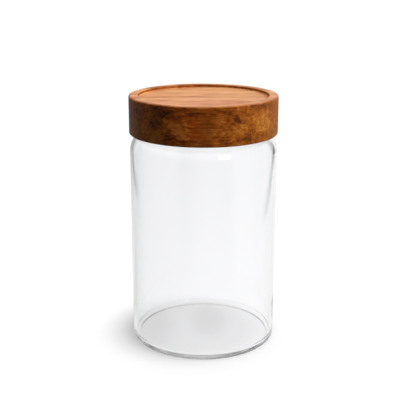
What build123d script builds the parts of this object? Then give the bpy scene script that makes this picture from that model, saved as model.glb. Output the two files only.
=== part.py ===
from build123d import *
import math
import os

# Lidded glass canister. Millimetres, +Z up, the origin at the centre of the foot on the table.

# Jar
jar_diameter = 99.2
body_height = 133.3
wall = 2.2
base_thickness = 2.2
base_edge_radius = 3.5
floor_edge_radius = 4.2
foot_width = 6.0
push_up = 0.7

# Shoulder and neck
neck_step = 7.2
shoulder_radius = 15.0
neck_root_radius = 2.5

# Lid
lid_overhang = 0.4
lid_height = 25.7
lid_edge_radius = 1.2
lid_rim_width = 6.2
recess_depth = 2.0
recess_bevel = 0.5
web_thickness = 6.5
lead_in = 1.2

# Seal ring
seal_thickness = 3.0
seal_bevel = 0.6
seal_inside_rim = 2.2
seal_catch = 0.8

# Clearances
thread_room = 2.0
skirt_gap = 0.6
rim_gap = 0.15
seal_groove_gap = 0.3

# Radii that the pieces share
jar_radius = jar_diameter / 2
neck_radius = jar_radius - neck_step
mouth_radius = neck_radius - wall
bore_radius = neck_radius + thread_room
lid_radius = jar_radius + lid_overhang
recess_radius = lid_radius - lid_rim_width
seal_outer_radius = bore_radius + seal_catch
seal_inner_radius = mouth_radius - seal_inside_rim
groove_radius = seal_outer_radius + seal_groove_gap

# The shoulder turns in and the neck's root turns back by the same angle
shoulder_turn = math.acos(1 - neck_step / (shoulder_radius + neck_root_radius))
neck_root_height = body_height + (shoulder_radius + neck_root_radius) * math.sin(shoulder_turn)
shoulder_centre_radius = jar_radius - shoulder_radius
shoulder_rise_at_bore = math.sqrt(shoulder_radius**2 - (bore_radius - shoulder_centre_radius) ** 2)

# Heights from the skirt up to the lid's top, then down to the glass rim
lid_bottom = body_height + shoulder_rise_at_bore + skirt_gap
lid_top = lid_bottom + lid_height
recess_floor = lid_top - recess_depth
ceiling = recess_floor - web_thickness
seal_bottom = ceiling - seal_thickness
rim_height = seal_bottom - rim_gap


def glass_jar():
    """One blown shell: foot, body, shoulder, straight neck and a fire-polished rim."""
    turn = math.degrees(shoulder_turn)
    foot_outer = jar_radius - base_edge_radius
    rim_radius = wall / 2
    floor_edge_height = base_thickness + floor_edge_radius
    with BuildPart() as jar:
        with BuildSketch(Plane.XZ):
            with BuildLine():
                # Outside, from the centre of the foot to the rim
                dome = TangentArc((0, push_up), (foot_outer - foot_width, 0), tangent=(1, 0))
                foot = Line(dome @ 1, (foot_outer, 0))
                base_edge = JernArc(foot @ 1, (1, 0), base_edge_radius, 90)
                body = Line(base_edge @ 1, (jar_radius, body_height))
                shoulder = JernArc(body @ 1, (0, 1), shoulder_radius, turn)
                neck_root = JernArc(shoulder @ 1, shoulder % 1, neck_root_radius, -turn)
                neck = Line(neck_root @ 1, (neck_radius, rim_height - rim_radius))
                rim = JernArc(neck @ 1, (0, 1), rim_radius, 180)
                # Inside, from the rim back to the centre of the floor
                mouth = Line(rim @ 1, (mouth_radius, neck_root_height))
                inner_root = JernArc(mouth @ 1, (0, -1), neck_root_radius + wall, turn)
                inner_shoulder = JernArc(inner_root @ 1, inner_root % 1, shoulder_radius - wall, -turn)
                inner_body = Line(inner_shoulder @ 1, (jar_radius - wall, floor_edge_height))
                floor_edge = JernArc(inner_body @ 1, (0, -1), floor_edge_radius, -90)
                floor = TangentArc((0, push_up + base_thickness), floor_edge @ 1, tangent=(1, 0))
                Line(floor @ 0, dome @ 0)
            make_face()
        revolve(axis=Axis.Z)
    return jar.part


def wooden_lid():
    """Turned cap: dished top, thick skirt over the neck, and an undercut that holds the seal."""
    groove_bottom = seal_bottom - seal_groove_gap
    with BuildPart() as lid:
        with BuildSketch(Plane.XZ):
            with BuildLine():
                outside = FilletPolyline(
                    (recess_radius + recess_bevel, lid_top),
                    (lid_radius, lid_top),
                    (lid_radius, lid_bottom),
                    (bore_radius + lead_in, lid_bottom),
                    radius=lid_edge_radius,
                )
                Polyline(
                    outside @ 1,
                    (bore_radius, lid_bottom + lead_in),
                    (bore_radius, groove_bottom),
                    (groove_radius, groove_bottom),
                    (groove_radius, ceiling),
                    (0, ceiling),
                    (0, recess_floor),
                    (recess_radius - recess_bevel, recess_floor),
                    (recess_radius, recess_floor + recess_bevel),
                    (recess_radius, lid_top - recess_bevel),
                    outside @ 0,
                )
            make_face()
        revolve(axis=Axis.Z)
    return lid.part


def silicone_seal():
    """Flat ring under the lid's ceiling, pressed on by the glass rim."""
    width = seal_outer_radius - seal_inner_radius
    middle_radius = (seal_outer_radius + seal_inner_radius) / 2
    middle_height = seal_bottom + seal_thickness / 2
    with BuildPart() as seal:
        with BuildSketch(Plane.XZ):
            with Locations((middle_radius, middle_height)):
                section = Rectangle(width, seal_thickness)
            chamfer(section.vertices(), seal_bevel)
        revolve(axis=Axis.Z)
    return seal.part


nodes = {
    "glass_jar": glass_jar(),
    "wooden_lid": wooden_lid(),
    "silicone_seal": silicone_seal(),
}

os.makedirs("parts", exist_ok=True)
for name, solid in nodes.items():
    export_step(solid, f"parts/{name}.step")

print(f"rim {rim_height:.2f}  lid {lid_bottom:.2f} to {lid_top:.2f}  neck root {neck_root_height:.2f}")
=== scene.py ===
import math

import bpy
import numpy as np
from mathutils import Matrix, Vector


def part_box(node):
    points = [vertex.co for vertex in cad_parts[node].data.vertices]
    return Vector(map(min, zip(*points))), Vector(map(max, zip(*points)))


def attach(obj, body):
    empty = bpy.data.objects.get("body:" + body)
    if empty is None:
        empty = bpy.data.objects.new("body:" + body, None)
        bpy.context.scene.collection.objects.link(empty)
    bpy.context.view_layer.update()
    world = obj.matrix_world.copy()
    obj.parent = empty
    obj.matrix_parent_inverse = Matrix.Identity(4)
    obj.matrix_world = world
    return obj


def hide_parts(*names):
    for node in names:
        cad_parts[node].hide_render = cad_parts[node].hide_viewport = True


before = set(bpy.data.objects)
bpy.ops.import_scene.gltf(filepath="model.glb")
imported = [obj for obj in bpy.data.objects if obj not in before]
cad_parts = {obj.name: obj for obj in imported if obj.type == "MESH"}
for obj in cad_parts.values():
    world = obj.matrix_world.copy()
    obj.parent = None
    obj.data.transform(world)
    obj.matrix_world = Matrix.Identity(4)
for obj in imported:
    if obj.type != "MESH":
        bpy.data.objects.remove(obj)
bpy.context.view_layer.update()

# Sizes in metres. The frame gives the outer ones, and the rest repeat the solids' own,
# apart from the thread, small roundings and a hair's gap over the seal.
jar_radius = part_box("glass_jar")[1].x
rim_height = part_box("glass_jar")[1].z
lid_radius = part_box("wooden_lid")[1].x
lid_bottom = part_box("wooden_lid")[0].z
lid_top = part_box("wooden_lid")[1].z
seal_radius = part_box("silicone_seal")[1].x
seal_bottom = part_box("silicone_seal")[0].z
seal_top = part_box("silicone_seal")[1].z

# Glass jar
BODY_HEIGHT = 0.1333
WALL = 0.0022
BASE_THICKNESS = 0.0022
BASE_EDGE_RADIUS = 0.0035
FLOOR_EDGE_RADIUS = 0.0039
FOOT_WIDTH = 0.006
PUSH_UP = 0.0007
NECK_STEP = 0.0072
SHOULDER_RADIUS = 0.015
NECK_ROOT_RADIUS = 0.0025

# Wooden lid
LID_EDGE_RADIUS = 0.0012
LID_RIM_WIDTH = 0.0062
RECESS_DEPTH = 0.002
RECESS_FLOOR_RADIUS = 0.0009
RECESS_RIM_RADIUS = 0.0005
WEB_THICKNESS = 0.0065
LEAD_IN = 0.0012
THREAD_ROOM = 0.002
SEAL_GROOVE_GAP = 0.0003

# Silicone seal
SEAL_INNER_RADIUS = 0.0380
SEAL_EDGE_RADIUS = 0.0007
# Keeps the seal's top and the lid's ceiling out of one plane
SEAL_CEILING_GAP = 0.00002

# Right-hand thread: the lid's ridge runs half a lead below the glass ridge
THREAD_LEAD = 0.006
THREAD_TURNS = 1.2
THREAD_START = 0.1490
THREAD_HALF_WIDTH = 0.0011
THREAD_RISE = 0.0014
THREAD_FADE_TURNS = 0.08

# Radii that several functions share
neck_radius = jar_radius - NECK_STEP
bore_radius = neck_radius + THREAD_ROOM
recess_radius = lid_radius - LID_RIM_WIDTH

# Steps round the axis and along the parts of an outline
SEGMENTS = 256
DOME_STEPS = 14
BASE_EDGE_STEPS = 24
SHOULDER_STEPS = 24
NECK_ROOT_STEPS = 10
INNER_ROOT_STEPS = 12
NECK_STEPS = 30
RIM_STEPS = 14
RECESS_STEPS = 6
LID_EDGE_STEPS = 8
BORE_STEPS = 36
SEAL_EDGE_STEPS = 5

# Closer than this is on the axis or on a surface
TOUCHING = 1e-6
# Outlines that turn more than this have a corner there
CORNER_TURN = math.radians(25)


# Outlines in (radius, height)
def arc(centre, radius, start, end, steps):
    """Points of an arc from one angle to another, in degrees."""
    points = []
    for angle in np.radians(np.linspace(start, end, steps + 1)):
        points.append((centre[0] + radius * math.cos(angle), centre[1] + radius * math.sin(angle)))
    return points


def run(start, end, steps):
    """Points of a straight run, both ends included."""
    return [tuple(p) for p in np.linspace(start, end, steps + 1)]


def dome(edge_radius):
    """Points of the base's shallow push-up, from its middle out to its edge."""
    radii = np.linspace(0, edge_radius, DOME_STEPS + 1)
    return [(r, PUSH_UP * (1 - (r / edge_radius) ** 2)) for r in radii]


def jar_outline():
    """Foot, body, shoulder, neck and rim outside, then the same wall back down inside."""
    reach = SHOULDER_RADIUS + NECK_ROOT_RADIUS
    turn = math.degrees(math.acos(1 - NECK_STEP / reach))
    foot_outer = jar_radius - BASE_EDGE_RADIUS
    shoulder = Vector((jar_radius - SHOULDER_RADIUS, BODY_HEIGHT))
    root = shoulder + reach * Vector((math.cos(math.radians(turn)), math.sin(math.radians(turn))))
    rim = (neck_radius - WALL / 2, rim_height - WALL / 2)
    floor_edge = (jar_radius - WALL - FLOOR_EDGE_RADIUS, BASE_THICKNESS + FLOOR_EDGE_RADIUS)
    points = dome(foot_outer - FOOT_WIDTH)
    points += arc((foot_outer, BASE_EDGE_RADIUS), BASE_EDGE_RADIUS, -90, 0, BASE_EDGE_STEPS)
    points += arc(shoulder, SHOULDER_RADIUS, 0, turn, SHOULDER_STEPS)
    points += arc(root, NECK_ROOT_RADIUS, 180 + turn, 180, NECK_ROOT_STEPS)[1:]
    points += run((neck_radius, root.y), (neck_radius, rim[1]), NECK_STEPS)[1:]
    points += arc(rim, WALL / 2, 0, 180, RIM_STEPS)[1:]
    points += arc(root, NECK_ROOT_RADIUS + WALL, 180, 180 + turn, INNER_ROOT_STEPS)
    points += arc(shoulder, SHOULDER_RADIUS - WALL, turn, 0, SHOULDER_STEPS)[1:]
    points += arc(floor_edge, FLOOR_EDGE_RADIUS, 0, -90, BASE_EDGE_STEPS)
    points += [(r, z + BASE_THICKNESS) for r, z in dome(floor_edge[0])[::-1]][1:]
    return points


def lid_outline():
    """Dished top, rounded outer edges, and the bore with its undercut for the seal."""
    recess_floor = lid_top - RECESS_DEPTH
    ceiling = recess_floor - WEB_THICKNESS
    groove = seal_radius + SEAL_GROOVE_GAP
    groove_bottom = seal_bottom - SEAL_GROOVE_GAP
    edge = lid_radius - LID_EDGE_RADIUS
    floor_corner = (recess_radius - RECESS_FLOOR_RADIUS, recess_floor + RECESS_FLOOR_RADIUS)
    rim_corner = (recess_radius + RECESS_RIM_RADIUS, lid_top - RECESS_RIM_RADIUS)
    points = run((0, recess_floor), (floor_corner[0], recess_floor), RECESS_STEPS)[:-1]
    points += arc(floor_corner, RECESS_FLOOR_RADIUS, -90, 0, RECESS_STEPS)
    points += arc(rim_corner, RECESS_RIM_RADIUS, 180, 90, RECESS_STEPS)
    points += arc((edge, lid_top - LID_EDGE_RADIUS), LID_EDGE_RADIUS, 90, 0, LID_EDGE_STEPS)
    points += arc((edge, lid_bottom + LID_EDGE_RADIUS), LID_EDGE_RADIUS, 0, -90, LID_EDGE_STEPS)
    points.append((bore_radius + LEAD_IN, lid_bottom))
    points += run((bore_radius, lid_bottom + LEAD_IN), (bore_radius, groove_bottom), BORE_STEPS)
    points += [(groove, groove_bottom), (groove, ceiling), (0, ceiling)]
    return points


def seal_outline():
    """A flat ring's section with rounded edges, as a closed loop."""
    inner = SEAL_INNER_RADIUS + SEAL_EDGE_RADIUS
    outer = seal_radius - SEAL_EDGE_RADIUS
    low = seal_bottom + SEAL_EDGE_RADIUS
    high = seal_top - SEAL_CEILING_GAP - SEAL_EDGE_RADIUS
    corners = ((outer, low), (outer, high), (inner, high), (inner, low))
    points = []
    for corner, start in zip(corners, (-90, 0, 90, 180)):
        points += arc(corner, SEAL_EDGE_RADIUS, start, start + 90, SEAL_EDGE_STEPS)
    return points


# Thread
def smooth(share):
    """Eases a share from 0 to 1, held at both ends."""
    share = min(max(share, 0.0), 1.0)
    return share * share * (3 - 2 * share)


def ridge(angle, height):
    """Share of the thread's full rise at a point of the neck or bore."""
    best = 0.0
    for turn in range(math.ceil(THREAD_TURNS) + 1):
        along = (angle / math.tau) % 1.0 + turn
        middle = THREAD_START + THREAD_LEAD * along
        offset = abs(height - middle) / THREAD_HALF_WIDTH
        if along > THREAD_TURNS or offset > 1:
            continue
        fade = smooth(along / THREAD_FADE_TURNS) * smooth((THREAD_TURNS - along) / THREAD_FADE_TURNS)
        best = max(best, fade * (1 + math.cos(math.pi * offset)) / 2)
    return best


def neck_relief(radius, height, angle):
    """Radius of the glass with its thread ridge outside the neck."""
    on_neck = abs(radius - neck_radius) < TOUCHING
    return radius + THREAD_RISE * ridge(angle, height) if on_neck else radius


def bore_relief(radius, height, angle):
    """Radius of the wood with its thread ridge inside the bore."""
    on_bore = abs(radius - bore_radius) < TOUCHING
    return radius - THREAD_RISE * ridge(angle, height + THREAD_LEAD / 2) if on_bore else radius


# Meshes
def corner_rows(outline, closed):
    """Rows of an outline that turn too sharply to be shaded as one surface."""
    rows = []
    count = len(outline)
    for i in range(0 if closed else 1, count if closed else count - 1):
        here = Vector(outline[i])
        arriving = here - Vector(outline[i - 1])
        leaving = Vector(outline[(i + 1) % count]) - here
        if arriving.angle(leaving, 0) > CORNER_TURN:
            rows.append(i)
    return rows


def mark_corners(mesh, rows, corners):
    """Smooth shading everywhere except across the outline's own corners."""
    row_of = {}
    for number in corners:
        for vertex in rows[number]:
            row_of[vertex] = number
    mesh.polygons.foreach_set("use_smooth", [True] * len(mesh.polygons))
    for edge in mesh.edges:
        a, b = edge.vertices
        edge.use_edge_sharp = a in row_of and row_of.get(a) == row_of.get(b)
    mesh.update()


def lathe(name, outline, closed=False, relief=None):
    """Turns an outline about the Z axis into one closed mesh."""
    vertices = []
    rows = []
    for radius, height in outline:
        if radius < TOUCHING:
            rows.append([len(vertices)] * SEGMENTS)
            vertices.append((0, 0, height))
            continue
        rows.append(list(range(len(vertices), len(vertices) + SEGMENTS)))
        for step in range(SEGMENTS):
            angle = math.tau * step / SEGMENTS
            r = relief(radius, height, angle) if relief else radius
            vertices.append((r * math.cos(angle), r * math.sin(angle), height))
    pairs = list(zip(rows, rows[1:])) + ([(rows[-1], rows[0])] if closed else [])
    faces = []
    for low, high in pairs:
        for i in range(SEGMENTS):
            j = (i + 1) % SEGMENTS
            corners = [low[i], low[j], high[j], high[i]]
            faces.append(list(dict.fromkeys(corners)))
    mesh = bpy.data.meshes.new(name)
    mesh.from_pydata(vertices, [], faces)
    mesh.validate()
    mark_corners(mesh, rows, corner_rows(outline, closed))
    piece = bpy.data.objects.new(name, mesh)
    bpy.context.scene.collection.objects.link(piece)
    return piece


# Shader nodes
class Shader:
    """A node tree with short calls for the nodes that the finishes share."""

    def __init__(self, owner):
        owner.use_nodes = True
        self.tree = owner.node_tree
        self.tree.nodes.clear()

    def node(self, kind, **settings):
        node = self.tree.nodes.new(kind)
        for key, value in settings.items():
            setattr(node, key, value)
        return node

    def put(self, socket, value):
        """Links another node's output to a socket, or sets the socket to a constant."""
        if isinstance(value, bpy.types.NodeSocket):
            self.tree.links.new(value, socket)
        else:
            socket.default_value = value

    def fill(self, node, values):
        """Puts values into a node's first sockets, in order."""
        for socket, value in zip(node.inputs, values):
            self.put(socket, value)
        return node.outputs[0]

    def math(self, operation, a, b=0.0, c=0.0):
        return self.fill(self.node("ShaderNodeMath", operation=operation), (a, b, c))

    def product(self, first, *others):
        for other in others:
            first = self.math("MULTIPLY", first, other)
        return first

    def add(self, base, share, change):
        """A base value and a share of a change."""
        return self.math("MULTIPLY_ADD", share, change, base)

    def vector(self, operation, a, b=(0, 0, 0)):
        node = self.node("ShaderNodeVectorMath", operation=operation)
        self.fill(node, (a, b))
        return node.outputs["Value" if operation == "LENGTH" else "Vector"]

    def split(self, vector):
        node = self.node("ShaderNodeSeparateXYZ")
        self.put(node.inputs[0], vector)
        return node.outputs

    def join(self, x, y, z):
        return self.fill(self.node("ShaderNodeCombineXYZ"), (x, y, z))

    def triple(self, value):
        return self.join(value, value, value)

    def noise(self, vector, scale=1.0, detail=2.0, roughness=0.5, output=0):
        node = self.node("ShaderNodeTexNoise")
        self.put(node.inputs["Vector"], vector)
        self.put(node.inputs["Scale"], scale)
        self.put(node.inputs["Detail"], detail)
        self.put(node.inputs["Roughness"], roughness)
        return node.outputs[output]

    def span(self, value, low, high, to_low=0.0, to_high=1.0, smoothly=True):
        """Maps a range of values onto another, held at both ends."""
        kind = "SMOOTHSTEP" if smoothly else "LINEAR"
        node = self.node("ShaderNodeMapRange", interpolation_type=kind)
        return self.fill(node, (value, low, high, to_low, to_high))

    def ramp(self, value, stops):
        node = self.node("ShaderNodeValToRGB")
        elements = node.color_ramp.elements
        while len(elements) < len(stops):
            elements.new(0.5)
        for element, (position, color) in zip(elements, stops):
            element.position = position
            element.color = (*color, 1)
        return self.fill(node, (value,))

    def mix(self, share, a, b, blend="MIX"):
        node = self.node("ShaderNodeMix", data_type="RGBA", blend_type=blend)
        self.put(node.inputs["Factor"], share)
        for key, value in (("A", a), ("B", b)):
            socket = [s for s in node.inputs if s.name == key and s.type == "RGBA"][0]
            self.put(socket, value)
        return [s for s in node.outputs if s.type == "RGBA"][0]

    def tint(self, share, color, shift):
        """A colour multiplied by a shift, as far as the share says."""
        return self.mix(share, color, self.mix(1.0, color, shift, "MULTIPLY"))

    def bump(self, height, strength, distance):
        node = self.node("ShaderNodeBump")
        self.put(node.inputs["Height"], height)
        self.put(node.inputs["Strength"], strength)
        self.put(node.inputs["Distance"], distance)
        return node.outputs[0]

    def mix_shader(self, share, a, b):
        return self.fill(self.node("ShaderNodeMixShader"), (share, a, b))

    def object_place(self):
        return self.node("ShaderNodeTexCoord").outputs["Object"]

    def light_path(self, name):
        return self.node("ShaderNodeLightPath").outputs[name]

    def end(self, shader, kind="ShaderNodeOutputMaterial"):
        self.put(self.node(kind).inputs["Surface"], shader)


def patch(s, place, middle, half_sizes, core=0.25):
    """A soft spot: 1 over its core, 0 outside."""
    scale = tuple(1 / size for size in half_sizes)
    offset = s.vector("MULTIPLY", s.vector("SUBTRACT", place, middle), scale)
    return s.span(s.vector("LENGTH", offset), core, 1.0, 1.0, 0.0)


def inward(edge, depths):
    """Places that lie some depths in from an edge."""
    return tuple(edge - depth for depth in depths)


def outward(edge, widths):
    """Places that lie some widths out from an edge."""
    return tuple(edge + width for width in widths)


# Clear glass
GLASS_TINT = (0.963, 0.965, 0.971, 1)
GLASS_IOR = 1.47
GLASS_RIPPLE_SCALE = (55, 55, 18)
GLASS_RIPPLE = 0.00006
GLASS_RIPPLE_HEIGHTS = (0.008, 0.030)
FOOT_WEAR = 0.06
FOOT_WEAR_HEIGHTS = (0.0002, 0.0010)
# The share of the lamps' light that a wall holds back, and how steeply it grows to the grazing edge
LAMP_LOSS_FACING = 0.03
LAMP_LOSS_GRAZING = 0.1
LAMP_LOSS_POWER = 3.0


def clear_glass():
    """Colourless glass with the faint ripple of a blown wall; lamps reach through it."""
    material = bpy.data.materials.new("clear_glass")
    s = Shader(material)
    place = s.object_place()
    height = s.split(place)["Z"]
    ripple = s.noise(s.vector("MULTIPLY", place, GLASS_RIPPLE_SCALE), detail=1.0)
    ripple = s.math("MULTIPLY", ripple, s.span(height, *GLASS_RIPPLE_HEIGHTS))
    glass = s.node("ShaderNodeBsdfPrincipled")
    s.put(glass.inputs["Base Color"], GLASS_TINT)
    s.put(glass.inputs["Roughness"], s.span(height, *FOOT_WEAR_HEIGHTS, FOOT_WEAR, 0.0))
    s.put(glass.inputs["IOR"], GLASS_IOR)
    s.put(glass.inputs["Transmission Weight"], 1.0)
    s.put(glass.inputs["Normal"], s.bump(ripple, 1.0, GLASS_RIPPLE))
    facing = s.node("ShaderNodeLayerWeight").outputs["Facing"]
    grazing = s.math("POWER", facing, LAMP_LOSS_POWER)
    kept = s.span(grazing, 0, 1, 1 - LAMP_LOSS_FACING, 1 - LAMP_LOSS_GRAZING, False)
    through = s.node("ShaderNodeBsdfTransparent")
    s.put(through.inputs["Color"], s.triple(kept))
    lamps = s.mix_shader(s.light_path("Is Shadow Ray"), glass.outputs[0], through.outputs[0])
    s.end(s.mix_shader(s.light_path("Is Diffuse Ray"), lamps, through.outputs[0]))
    return material


# Oiled wood: grain along X, two boards glued near the lid's middle
GLUE_LINE_Y = -0.0005
BOARD_SHIFT = (0.31, 0.017, 0.023)
SWAY_SCALE = (12, 28, 28)
SWAY = (0, 0.010, 0.010)
STREAK_SCALE = (26, 110, 110)
FIBRE_SCALE = (62, 850, 850)
SIDE_FIBRE_SCALE = (26, 850, 850)
FIGURE_SCALE = (34, 60, 90)
FIGURE_DETAIL = 4.0
MOTTLE_SCALE = (300, 330, 330)
PORE_SCALE = (90, 1500, 1500)
PORE_LEVELS = (0.62, 0.72)
GRAIN_ROUGHNESS = 0.6
END_GRAIN_POWER = 2.0
NOISE_MIDDLE = 0.5
WOOD_ROUGHNESS = (0.40, 0.56)
WOOD_ROUGHNESS_FIBRES = (-0.3, 0.3)
WOOD_SPECULAR = 0.14
WOOD_BUMP = 0.35
WOOD_BUMP_DISTANCE = 0.0003
WOOD_BUMP_PORES = 0.8

# The sanded top: its tones from dark to light, its plain tone and what each kind of grain adds. Its
# tones hold a painted sheen as well as the wood's colour
TOP_TONES = (
    (0.00, (0.330, 0.105, 0.030)),
    (0.30, (0.580, 0.235, 0.082)),
    (0.55, (0.700, 0.330, 0.135)),
    (1.00, (0.860, 0.480, 0.230)),
)
TOP_TONE = 0.47
TOP_WEIGHTS = {"streaks": 1.6, "fibres": 1.25, "figure": 0.35, "pores": -0.16}
# Its plain streaks: place along Y, half width and change of tone
TOP_STREAKS = (
    (0.0080, 0.0030, 0.16),
    (0.0005, 0.0030, -0.24),
    (-0.0072, 0.0030, 0.24),
    (-0.0155, 0.0050, -0.24),
)
TOP_STREAK_CORE = 0.3
# They weaken to this share where the grain's own streaks run light
TOP_STREAK_WEAK = 0.45
TOP_STREAK_LEVELS = (-0.15, 0.15)
# A darker spot behind on the left: place, half sizes and change of tone
TOP_SPOT = ((-0.034, 0.032, 0.169), (0.020, 0.013, 0.010))
TOP_SPOT_CHANGE = -0.20
# Pinker toward the front, by place along Y
TOP_FRONT_PLACES = (-0.030, 0.020)
TOP_FRONT_SHIFT = (1.0, 0.97, 1.12, 1)

# The turned side in the same way, its tones darker than the top's from oil and from painted shade
SIDE_TONES = (
    (0.00, (0.018, 0.006, 0.002)),
    (0.25, (0.112, 0.025, 0.003)),
    (0.50, (0.295, 0.066, 0.005)),
    (0.75, (0.445, 0.122, 0.012)),
    (1.00, (0.600, 0.230, 0.047)),
)
SIDE_TONE = 0.56
SIDE_WEIGHTS = {"figure": 0.60, "streaks": 0.35, "lines": 1.70, "mottle": 1.05, "pores": -0.10}
# Long grain shows this share of the end grain's mottle
LONG_GRAIN_MOTTLE = 0.50
# Its figure: place, half sizes and change of tone, bent by a warp and flecked by the mottle
FIGURE_WARP_SCALE = 95.0
FIGURE_WARP_DETAIL = 3.0
FIGURE_WARP = (0.013, 0.013, 0.013)
FIGURE_FLECKS = 1.6
SIDE_FIGURE = (
    ((-0.0260, -0.0420, 0.1668), (0.0120, 0.0110, 0.0048), -0.23),
    ((-0.0295, -0.0400, 0.1595), (0.0075, 0.0110, 0.0060), -0.21),
    ((-0.0420, -0.0270, 0.1510), (0.0110, 0.0130, 0.0060), -0.08),
    ((-0.0480, -0.0140, 0.1600), (0.0040, 0.0140, 0.0140), -0.13),
    ((-0.0200, -0.0460, 0.1505), (0.0060, 0.0100, 0.0035), -0.20),
    ((0.0270, -0.0420, 0.1498), (0.0070, 0.0090, 0.0032), -0.22),
    ((0.0130, -0.0480, 0.1495), (0.0070, 0.0090, 0.0028), -0.18),
    ((0.0120, -0.0485, 0.1685), (0.0160, 0.0090, 0.0028), -0.12),
    ((-0.0160, -0.0475, 0.1585), (0.0100, 0.0110, 0.0070), 0.30),
    ((-0.0110, -0.0488, 0.1530), (0.0110, 0.0100, 0.0045), 0.20),
    ((0.0360, -0.0340, 0.1690), (0.0120, 0.0120, 0.0030), -0.16),
    ((0.0385, -0.0310, 0.1580), (0.0120, 0.0150, 0.0110), 0.26),
    ((0.0200, -0.0455, 0.1535), (0.0080, 0.0100, 0.0035), 0.12),
    ((0.0250, -0.0435, 0.1565), (0.0070, 0.0090, 0.0045), 0.18),
    ((0.0060, -0.0495, 0.1585), (0.0110, 0.0080, 0.0045), 0.10),
    ((-0.0290, -0.0408, 0.1525), (0.0080, 0.0100, 0.0060), 0.20),
    ((-0.0365, -0.0340, 0.1550), (0.0070, 0.0090, 0.0060), 0.14),
    ((-0.0135, -0.0482, 0.1545), (0.0085, 0.0090, 0.0055), 0.26),
    ((-0.0120, -0.0485, 0.1685), (0.0150, 0.0090, 0.0032), -0.15),
    ((-0.0475, -0.0150, 0.1525), (0.0060, 0.0120, 0.0060), -0.07),
    ((-0.0375, -0.0330, 0.1585), (0.0060, 0.0090, 0.0100), 0.06),
)
# A pin knot: two dark eyes in a wider dark ring
KNOT_EYES = (
    ((0.0210, -0.0454, 0.1634), (0.0019, 0.0050, 0.0017), -0.13),
    ((0.0226, -0.0446, 0.1606), (0.0017, 0.0050, 0.0019), -0.16),
    ((0.0214, -0.0452, 0.1618), (0.0042, 0.0060, 0.0046), -0.11),
)
# End grain is a little less red
END_GRAIN_SHIFT = (0.99, 1.20, 1.10, 1)
# Redder heartwood left of the front: place, half sizes and core
HEARTWOOD = ((-0.0150, -0.0480, 0.1580), (0.0190, 0.0200, 0.0150), 0.45)
HEARTWOOD_SHIFT = (1.30, 1.02, 0.62, 1)

# Where the wood takes the side's darker colour: oil, and painted shade on faces that do not look up.
# Faces that look up more than this are dry, sanded top
TOP_NORMALS = (0.45, 0.80)
# The outer side takes it, oil and painted shade, this far in from the lid's edge
OUTER_SIDE_DEPTHS = (0.0035, 0.0025)
# So is all that lies deeper under the lid's top. The recess's wall, darker as painted shade as well as
# oil, takes a little less, except in its end grain
DRY_TOP_DEPTHS = (0.0050, 0.0035)
RECESS_WALL_OIL_AND_SHADE = 0.85
RECESS_END_OIL = 0.15
# The top's outer edge soaks up oil from the side
EDGE_OIL = 0.60
EDGE_OIL_DEPTHS = (0.0022, 0.0005)
# Painted shade on the recess's floor at the foot of its wall on the right, where the wall's shadow
# falls, by place along X
WALL_FOOT_SHADE = 0.65
WALL_FOOT_SHADE_DEPTHS = (0.0030, 0.0012)
WALL_FOOT_SHADE_PLACES = (0.033, 0.041)
# Painted shade on the rim along the recess's edge at the back, by place along Y
BACK_EDGE_SHADE = 0.60
BACK_EDGE_SHADE_WIDTHS = (0.0030, 0.0012)
BACK_EDGE_SHADE_PLACES = (0.012, 0.034)


def off_middle(s, value):
    """Noise as a change up or down from its middle."""
    return s.math("SUBTRACT", value, NOISE_MIDDLE)


def grain_noise(s, place, scale, detail=3.0):
    """Noise that is stretched along the grain, as a change up or down."""
    stretched = s.vector("MULTIPLY", place, scale)
    return off_middle(s, s.noise(stretched, detail=detail, roughness=GRAIN_ROUGHNESS))


def wood_grain(s, place):
    """Every kind of grain by its name. The board behind the glue line has a grain of its own."""
    behind = s.math("GREATER_THAN", s.split(place)["Y"], GLUE_LINE_Y)
    board = s.vector("ADD", place, s.vector("MULTIPLY", BOARD_SHIFT, s.triple(behind)))
    sway = off_middle(s, s.noise(s.vector("MULTIPLY", board, SWAY_SCALE)))
    bent = s.vector("ADD", board, s.vector("MULTIPLY", s.triple(sway), SWAY))
    pores = s.noise(s.vector("MULTIPLY", board, PORE_SCALE), detail=1.0)
    return {
        "streaks": grain_noise(s, bent, STREAK_SCALE),
        "fibres": grain_noise(s, bent, FIBRE_SCALE),
        "lines": grain_noise(s, bent, SIDE_FIBRE_SCALE),
        "figure": grain_noise(s, bent, FIGURE_SCALE, FIGURE_DETAIL),
        "mottle": grain_noise(s, place, MOTTLE_SCALE),
        "pores": s.span(pores, *PORE_LEVELS),
    }


def weigh(s, tone, grain, weights):
    """A tone with each kind of grain added by its weight."""
    for name, weight in weights.items():
        tone = s.add(tone, grain[name], weight)
    return tone


def top_color(s, place, grain):
    """Sanded long grain, golden at the back and pinker at the front."""
    across = s.split(place)["Y"]
    tone = weigh(s, TOP_TONE, grain, TOP_WEIGHTS)
    broken = s.span(grain["streaks"], *TOP_STREAK_LEVELS, 1.0, TOP_STREAK_WEAK)
    for middle, half_width, change in TOP_STREAKS:
        reach = s.math("ABSOLUTE", s.math("SUBTRACT", across, middle))
        line = s.span(reach, TOP_STREAK_CORE * half_width, half_width, 1.0, 0.0)
        tone = s.add(tone, s.math("MULTIPLY", line, broken), change)
    tone = s.add(tone, patch(s, place, *TOP_SPOT), TOP_SPOT_CHANGE)
    front = s.span(across, *TOP_FRONT_PLACES, 1.0, 0.0)
    return s.tint(front, s.ramp(tone, TOP_TONES), TOP_FRONT_SHIFT)


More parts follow.
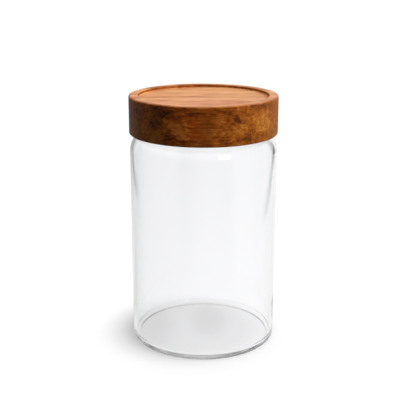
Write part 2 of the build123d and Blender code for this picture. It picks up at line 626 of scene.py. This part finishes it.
def side_color(s, place, end_grain, grain):
    """Turned side: fibre lines at the front and back, mottled end grain left and right."""
    warp = s.noise(place, FIGURE_WARP_SCALE, FIGURE_WARP_DETAIL, output="Color")
    warp = s.vector("SUBTRACT", warp, (NOISE_MIDDLE,) * 3)
    warped = s.vector("ADD", place, s.vector("MULTIPLY", warp, FIGURE_WARP))
    long_grain = s.math("SUBTRACT", 1.0, end_grain)
    mottled = s.span(end_grain, 0.0, 1.0, LONG_GRAIN_MOTTLE, 1.0, False)
    turned = dict(grain)
    turned["streaks"] = s.math("MULTIPLY", grain["streaks"], long_grain)
    turned["lines"] = s.math("MULTIPLY", grain["lines"], long_grain)
    turned["mottle"] = s.math("MULTIPLY", grain["mottle"], mottled)
    tone = weigh(s, SIDE_TONE, turned, SIDE_WEIGHTS)
    flecked = s.add(1.0, grain["mottle"], FIGURE_FLECKS)
    for middle, half_sizes, change in SIDE_FIGURE:
        tone = s.add(tone, s.math("MULTIPLY", patch(s, warped, middle, half_sizes), flecked), change)
    for middle, half_sizes, change in KNOT_EYES:
        tone = s.add(tone, patch(s, place, middle, half_sizes), change)
    color = s.tint(end_grain, s.ramp(tone, SIDE_TONES), END_GRAIN_SHIFT)
    return s.tint(patch(s, warped, *HEARTWOOD), color, HEARTWOOD_SHIFT)


def oil_and_shade_share(s, place, normal, end_grain):
    """How far the dry top's colour turns into the side's: oil, and painted shade on the side, the
    recess's wall and the recess's edges.
    """
    spot = s.split(place)
    from_axis = s.vector("LENGTH", s.join(spot["X"], spot["Y"], 0.0))
    outer_side = s.span(from_axis, *inward(lid_radius, OUTER_SIDE_DEPTHS))
    # The recess's wall: oil and painted shade
    wall = s.add(RECESS_WALL_OIL_AND_SHADE, end_grain, RECESS_END_OIL)
    below = s.span(spot["Z"], *inward(lid_top, DRY_TOP_DEPTHS), 1.0, wall)
    upright = s.span(normal["Z"], *TOP_NORMALS, 1.0, 0.0)
    # Faces that do not look up take the side's colour: oil and painted shade
    oil_and_shade = s.math("MULTIPLY", upright, s.math("MAXIMUM", outer_side, below))
    edge = s.span(from_axis, *inward(lid_radius, EDGE_OIL_DEPTHS), 0.0, EDGE_OIL)
    in_recess = s.math("LESS_THAN", from_axis, recess_radius)
    on_rim = s.math("SUBTRACT", 1.0, in_recess)
    # Painted shade at the foot of the recess's wall on the right
    wall_foot_shade = s.span(from_axis, *inward(recess_radius, WALL_FOOT_SHADE_DEPTHS), 0.0, WALL_FOOT_SHADE)
    wall_foot_shade = s.product(wall_foot_shade, in_recess, s.span(spot["X"], *WALL_FOOT_SHADE_PLACES))
    # Painted shade on the rim along the recess's back edge
    back_edge_shade = s.span(from_axis, *outward(recess_radius, BACK_EDGE_SHADE_WIDTHS), 0.0, BACK_EDGE_SHADE)
    back_edge_shade = s.product(back_edge_shade, on_rim, s.span(spot["Y"], *BACK_EDGE_SHADE_PLACES))
    for share in (edge, wall_foot_shade, back_edge_shade):
        oil_and_shade = s.math("MAXIMUM", oil_and_shade, share)
    return oil_and_shade


def acacia_wood():
    """Solid wood in the lid's own place: a pale dished top with a painted sheen in its colour, and a
    dark oil-soaked side darkened further by painted shade.
    """
    material = bpy.data.materials.new("acacia_wood")
    s = Shader(material)
    place = s.object_place()
    normal = s.split(s.node("ShaderNodeTexCoord").outputs["Normal"])
    end_grain = s.math("POWER", s.math("ABSOLUTE", normal["X"]), END_GRAIN_POWER)
    grain = wood_grain(s, place)
    top = top_color(s, place, grain)
    side = side_color(s, place, end_grain, grain)
    relief = s.math("SUBTRACT", grain["fibres"], s.math("MULTIPLY", grain["pores"], WOOD_BUMP_PORES))
    rough = s.span(grain["fibres"], *WOOD_ROUGHNESS_FIBRES, *WOOD_ROUGHNESS, False)
    wood = s.node("ShaderNodeBsdfPrincipled")
    # The side's colour takes over by oil and by painted shade
    s.put(wood.inputs["Base Color"], s.mix(oil_and_shade_share(s, place, normal, end_grain), top, side))
    s.put(wood.inputs["Roughness"], rough)
    s.put(wood.inputs["Specular IOR Level"], WOOD_SPECULAR)
    s.put(wood.inputs["Normal"], s.bump(relief, WOOD_BUMP, WOOD_BUMP_DISTANCE))
    s.end(wood.outputs[0])
    return material


# Silicone
SILICONE_COLORS = ((0.80, 0.80, 0.78, 1), (0.88, 0.88, 0.87, 1))
SILICONE_CLOUD_SCALE = 120.0
SILICONE_SKIN_SCALE = 2500.0
SILICONE_SKIN_LEVELS = (0.3, 0.7)
SILICONE_ROUGHNESS = (0.45, 0.6)
SILICONE_DEPTH_SHARE = 0.25
SILICONE_DEPTH = (0.002, 0.002, 0.002)
SILICONE_BUMP = 0.2
SILICONE_BUMP_DISTANCE = 0.0001


def silicone():
    """Milky rubber with a fine moulded texture."""
    material = bpy.data.materials.new("silicone")
    s = Shader(material)
    place = s.object_place()
    cloud = s.noise(place, SILICONE_CLOUD_SCALE)
    skin = s.noise(place, SILICONE_SKIN_SCALE)
    rough = s.span(skin, *SILICONE_SKIN_LEVELS, *SILICONE_ROUGHNESS, False)
    rubber = s.node("ShaderNodeBsdfPrincipled")
    s.put(rubber.inputs["Base Color"], s.mix(cloud, *SILICONE_COLORS))
    s.put(rubber.inputs["Roughness"], rough)
    s.put(rubber.inputs["Subsurface Weight"], SILICONE_DEPTH_SHARE)
    s.put(rubber.inputs["Subsurface Radius"], SILICONE_DEPTH)
    s.put(rubber.inputs["Normal"], s.bump(skin, SILICONE_BUMP, SILICONE_BUMP_DISTANCE))
    s.end(rubber.outputs[0])
    return material


# Pieces
def dress(piece, material, body, node):
    """Gives a piece its finish and its place in the frame."""
    piece.data.materials.append(material)
    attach(piece, body)
    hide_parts(node)


jar = lathe("jar_glass", jar_outline(), relief=neck_relief)
lid = lathe("lid_wood", lid_outline(), relief=bore_relief)
seal = lathe("seal_ring", seal_outline(), closed=True)
dress(jar, clear_glass(), "jar", "glass_jar")
dress(lid, acacia_wood(), "lid", "wooden_lid")
dress(seal, silicone(), "seal", "silicone_seal")


# Studio: a white floor and room. Mirror images show the room with dark parts, painted into mirror
# images alone
FLOOR_HALF = 9.0
FLOOR_GAP = 0.00005
FLOOR_GLOW = 0.435
FLOOR_COLOR = (0.55, 0.55, 0.55, 1)
FLOOR_GLOW_THROUGH = 0.79
FLOOR_COLOR_THROUGH = (0.25, 0.25, 0.25, 1)
FLOOR_BOUNCE = (0.12, 0.12, 0.12, 1)
STUDIO_WHITE = (1, 1, 1, 1)
STUDIO_FILL = (0.10, 0.10, 0.10, 1)
# Shade by the foot and, seen through the glass, under the jar: middle, half sizes, core and depth
FOOT_SHADE = (
    ((-0.006, 0.004, 0.0), (0.054, 0.054, 1.0), 0.80, 0.08),
    ((-0.008, -0.010, 0.0), (0.080, 0.080, 1.0), 0.55, 0.05),
)
UNDER_SHADE = (
    ((0.004, 0.016, 0.0), (0.020, 0.042, 1.0), 0.25, 0.11),
    ((-0.042, 0.000, 0.0), (0.030, 0.055, 1.0), 0.25, 0.10),
)
# Through the glass the paper's glow falls off a little to the left, a painted shade, by place along X
LEFT_FALL = 0.055
LEFT_FALL_PLACES = (-0.036, 0.010)

# The room that gloss and glass mirror. Its turns are about +Z from straight behind, its distances lie
# along the floor, and its dark parts fade out overhead.
ROOM_LIGHT = 0.92
OVERHEAD = (0.10, 0.60)
# Dark on the left and at the right front
DARK_DEPTH = 0.65
LEFT_TURNS = (math.radians(-62), math.radians(-32))
RIGHT_FRONT_TURNS = (math.radians(125), math.radians(142))
DARK_DISTANCES = (0.05, 0.60)
DARK_POWER = 0.5
# Dim behind on the left
DIM_DEPTH = 0.50
DIM_TURNS = (math.radians(-16), math.radians(6))
DIM_DISTANCES = (0.10, 0.95)
DIM_NEAR = 0.2
# A dark band on the right, painted into mirror images alone
GAP_DEPTH = 0.85
GAP_TURN = math.radians(40)
GAP_HALF_TURNS = (math.radians(4), math.radians(11))
GAP_DISTANCES = (0.50, 0.72)
# Dark lines painted into mirror images of the floor, as if beyond a paper's side edges: side, slant,
# place along X, depth, and start and end along Y
MIRRORED_DARK_LINES = (
    (1, 0.22, 0.297, 0.80, (0.03, 0.16), (0.48, 0.58)),
    (-1, 0.0, 0.335, 0.60, (0.15, 0.29), (0.28, 0.60)),
)
DARK_LINE_RISE = 0.025
DARK_LINE_FADE = (0.010, 0.090)
# A painted contact shadow under the jar's foot in mirror images, except on the right, by place along X
CONTACT_DEPTH = 0.50
CONTACT_DISTANCES = (0.044, 0.049)
CONTACT_PLACES = (0.022, 0.040)
# A painted reflection of one lamp panel, which lights nothing; its azimuth from straight in front
PANEL_STRENGTH = 2.2
PANEL_AZIMUTH = math.radians(35)
PANEL_ELEVATION = math.radians(28.5)
PANEL_HALF_WIDTH = math.radians(12)
PANEL_HALF_HEIGHT = math.radians(13.5)
PANEL_SOFT_EDGE = math.radians(3)

# Light path depths are whole numbers, so these limits lie halfway between two
MIRRORED_ONCE = 0.5
MIRRORED_TWICE = 1.5
PAST_FRONT_WALL = 2.5


def seen(s):
    """1 for rays that show the studio: straight from the camera, off gloss or through glass."""
    share = s.math("MAXIMUM", s.light_path("Is Camera Ray"), s.light_path("Is Glossy Ray"))
    return s.math("MAXIMUM", share, s.light_path("Is Transmission Ray"))


def mirrored(s):
    """1 for rays that a surface has mirrored on their way."""
    return s.math("GREATER_THAN", s.light_path("Glossy Depth"), MIRRORED_ONCE)


def paper(s, color, glow, shades):
    """White paper: what the lamps give it, which holds the shadow, and the room's own glow."""
    place = s.object_place()
    lit = s.node("ShaderNodeBsdfDiffuse")
    s.put(lit.inputs["Color"], color)
    for middle, half_sizes, core, depth in shades:
        glow = s.add(glow, patch(s, place, middle, half_sizes, core), -depth)
    even = s.node("ShaderNodeEmission")
    s.put(even.inputs["Strength"], glow)
    return s.fill(s.node("ShaderNodeAddShader"), (lit.outputs[0], even.outputs[0]))


def room_tone(s, way, dark_far, dim_far, gap_far):
    """Brightness of the mirrored room along a way from the canister."""
    split = s.split(way)
    turn = s.math("ARCTAN2", split["X"], split["Y"])
    open_side = s.math("MAXIMUM", s.span(turn, *LEFT_TURNS, 1.0, 0.0), s.span(turn, *RIGHT_FRONT_TURNS))
    dark = s.product(open_side, dark_far, DARK_DEPTH)
    dim = s.product(s.span(turn, *DIM_TURNS, 1.0, 0.0), s.span(turn, *LEFT_TURNS), dim_far, DIM_DEPTH)
    from_gap = s.math("ABSOLUTE", s.math("SUBTRACT", turn, GAP_TURN))
    gap = s.math("MULTIPLY", s.span(from_gap, *GAP_HALF_TURNS, 1.0, 0.0), gap_far)
    tone = s.math("SUBTRACT", ROOM_LIGHT, s.math("MAXIMUM", dark, dim))
    return s.add(tone, gap, -GAP_DEPTH)


def mirrored_dark_line(s, place, side, slant, middle, starts, ends):
    """1 on one of the dark lines painted into the floor's mirror image."""
    split = s.split(place)
    reach = s.add(s.math("MULTIPLY", split["X"], side), split["Y"], -slant)
    line = s.span(reach, middle - DARK_LINE_RISE, middle)
    fade = s.span(reach, *outward(middle, DARK_LINE_FADE), 1.0, 0.0)
    along = s.math("MULTIPLY", s.span(split["Y"], *starts), s.span(split["Y"], *ends, 1.0, 0.0))
    return s.product(line, fade, along)


def floor_image(s):
    """The floor as gloss and glass mirror it; its finest parts show in the jar's front wall alone."""
    place = s.object_place()
    distance = s.vector("LENGTH", place)
    dark_far = s.math("POWER", s.span(distance, *DARK_DISTANCES, 0.0, 1.0, False), DARK_POWER)
    dim_far = s.span(distance, *DIM_DISTANCES, DIM_NEAR, 1.0)
    tone = room_tone(s, place, dark_far, dim_far, s.span(distance, *GAP_DISTANCES))
    in_wall = s.math("LESS_THAN", s.light_path("Transmission Depth"), PAST_FRONT_WALL)
    # Dark lines painted into the floor's mirror image
    for side, slant, middle, depth, starts, ends in MIRRORED_DARK_LINES:
        line = s.math("MULTIPLY", mirrored_dark_line(s, place, side, slant, middle, starts, ends), in_wall)
        tone = s.add(tone, line, -depth)
    tone = s.math("MAXIMUM", tone, 0.0)
    contact = s.span(distance, *CONTACT_DISTANCES, 1.0, 0.0)
    contact = s.product(contact, s.span(s.split(place)["X"], *CONTACT_PLACES, 1.0, 0.0), in_wall)
    return s.add(tone, contact, -CONTACT_DEPTH)


def floor_material():
    """Paper straight and through the glass, the room's floor in mirror images, and a dim bounce."""
    material = bpy.data.materials.new("studio_floor")
    s = Shader(material)
    bounce = s.node("ShaderNodeBsdfDiffuse")
    s.put(bounce.inputs["Color"], FLOOR_BOUNCE)
    direct = paper(s, FLOOR_COLOR, FLOOR_GLOW, FOOT_SHADE)
    across = s.split(s.object_place())["X"]
    glow = s.span(across, *LEFT_FALL_PLACES, FLOOR_GLOW_THROUGH - LEFT_FALL, FLOOR_GLOW_THROUGH)
    through = paper(s, FLOOR_COLOR_THROUGH, glow, UNDER_SHADE)
    shown = s.mix_shader(s.light_path("Is Transmission Ray"), direct, through)
    image = s.node("ShaderNodeEmission")
    s.put(image.inputs["Strength"], floor_image(s))
    shown = s.mix_shader(mirrored(s), shown, image.outputs[0])
    s.end(s.mix_shader(seen(s), bounce.outputs[0], shown))
    return material


def floor():
    """A wide white floor that keeps the canister's shadow."""
    mesh = bpy.data.meshes.new("floor")
    h = FLOOR_HALF
    z = -FLOOR_GAP
    mesh.from_pydata([(-h, -h, z), (h, -h, z), (h, h, z), (-h, h, z)], [], [(0, 1, 2, 3)])
    plane = bpy.data.objects.new("floor", mesh)
    bpy.context.scene.collection.objects.link(plane)
    mesh.materials.append(floor_material())


def panel_reflection(s, direction):
    """1 where a panel lamp's painted reflection shows, once mirrored and no more."""
    way = s.split(direction)
    azimuth = s.math("ARCTAN2", way["X"], s.math("MULTIPLY", way["Y"], -1.0))
    elevation = s.math("ARCSINE", way["Z"])
    off_azimuth = s.math("ABSOLUTE", s.math("SUBTRACT", azimuth, PANEL_AZIMUTH))
    off_elevation = s.math("ABSOLUTE", s.math("SUBTRACT", elevation, PANEL_ELEVATION))
    wide = s.span(off_azimuth, PANEL_HALF_WIDTH - PANEL_SOFT_EDGE, PANEL_HALF_WIDTH, 1.0, 0.0)
    high = s.span(off_elevation, PANEL_HALF_HEIGHT - PANEL_SOFT_EDGE, PANEL_HALF_HEIGHT, 1.0, 0.0)
    once = s.math("LESS_THAN", s.light_path("Glossy Depth"), MIRRORED_TWICE)
    return s.product(wide, high, once)


def studio():
    """A white room to look at, its mirror image with painted dark parts and a lamp's painted
    reflection, and a dim even fill.
    """
    world = bpy.data.worlds.new("studio")
    bpy.context.scene.world = world
    s = Shader(world)
    direction = s.node("ShaderNodeTexCoord").outputs["Generated"]
    low = s.span(s.split(direction)["Z"], *OVERHEAD, 1.0, 0.0)
    tone = room_tone(s, direction, low, low, low)
    # The panel is a painted reflection: it shows once mirrored and lights nothing
    tone = s.add(tone, panel_reflection(s, direction), PANEL_STRENGTH)
    shown = s.mix(mirrored(s), STUDIO_WHITE, s.triple(tone))
    room = s.node("ShaderNodeBackground")
    s.put(room.inputs["Color"], s.mix(seen(s), STUDIO_FILL, shown))
    s.end(room.outputs[0], "ShaderNodeOutputWorld")


def sun(name, toward, strength, spread):
    """A far soft lamp. It lies toward a direction from the canister, and spreads some degrees.

    At strength 1 a face square to it shows its colour as it is."""
    lamp = bpy.data.lights.new(name, "SUN")
    lamp.energy = strength * math.pi
    lamp.angle = math.radians(spread)
    holder = bpy.data.objects.new(name, lamp)
    holder.rotation_euler = Vector(toward).to_track_quat("Z", "Y").to_euler()
    holder.visible_glossy = False
    holder.visible_transmission = False
    bpy.context.scene.collection.objects.link(holder)


floor()
studio()
sun("overhead", toward=(0.055, -0.03, 1.0), strength=0.78, spread=11)
sun("right_side", toward=(0.93, -0.26, 0.21), strength=0.9, spread=40)


# Camera, as fitted to the photograph's ellipses
PHOTO_PIXELS = 400
FOCAL_PIXELS = 857.3
AXIS_PIXEL_X = 203.40
CAMERA_PLACE = (0, -0.5685, 0.2608)
CAMERA_PITCH = 0.27955
CAMERA_ROLL = 0.0014
SENSOR_MM = 36.0


def camera():
    """Looks along +Y and down at the canister, with the photograph's framing."""
    data = bpy.data.cameras.new("photo_camera")
    data.sensor_width = SENSOR_MM
    data.lens = SENSOR_MM * FOCAL_PIXELS / PHOTO_PIXELS
    data.shift_x = (PHOTO_PIXELS / 2 - AXIS_PIXEL_X) / PHOTO_PIXELS
    holder = bpy.data.objects.new("photo_camera", data)
    tilt = Matrix.Rotation(math.pi / 2 - CAMERA_PITCH, 4, "X")
    roll = Matrix.Rotation(CAMERA_ROLL, 4, "Z")
    holder.matrix_world = Matrix.Translation(CAMERA_PLACE) @ tilt @ roll
    bpy.context.scene.collection.objects.link(holder)
    bpy.context.scene.camera = holder


camera()
bpy.context.scene.view_settings.view_transform = "Standard"

# Enough bounces for light to pass and be mirrored between all the walls
LIGHT_BOUNCES = 24
cycles = bpy.context.scene.cycles
cycles.max_bounces = LIGHT_BOUNCES
cycles.glossy_bounces = LIGHT_BOUNCES
cycles.transmission_bounces = LIGHT_BOUNCES
cycles.transparent_max_bounces = LIGHT_BOUNCES
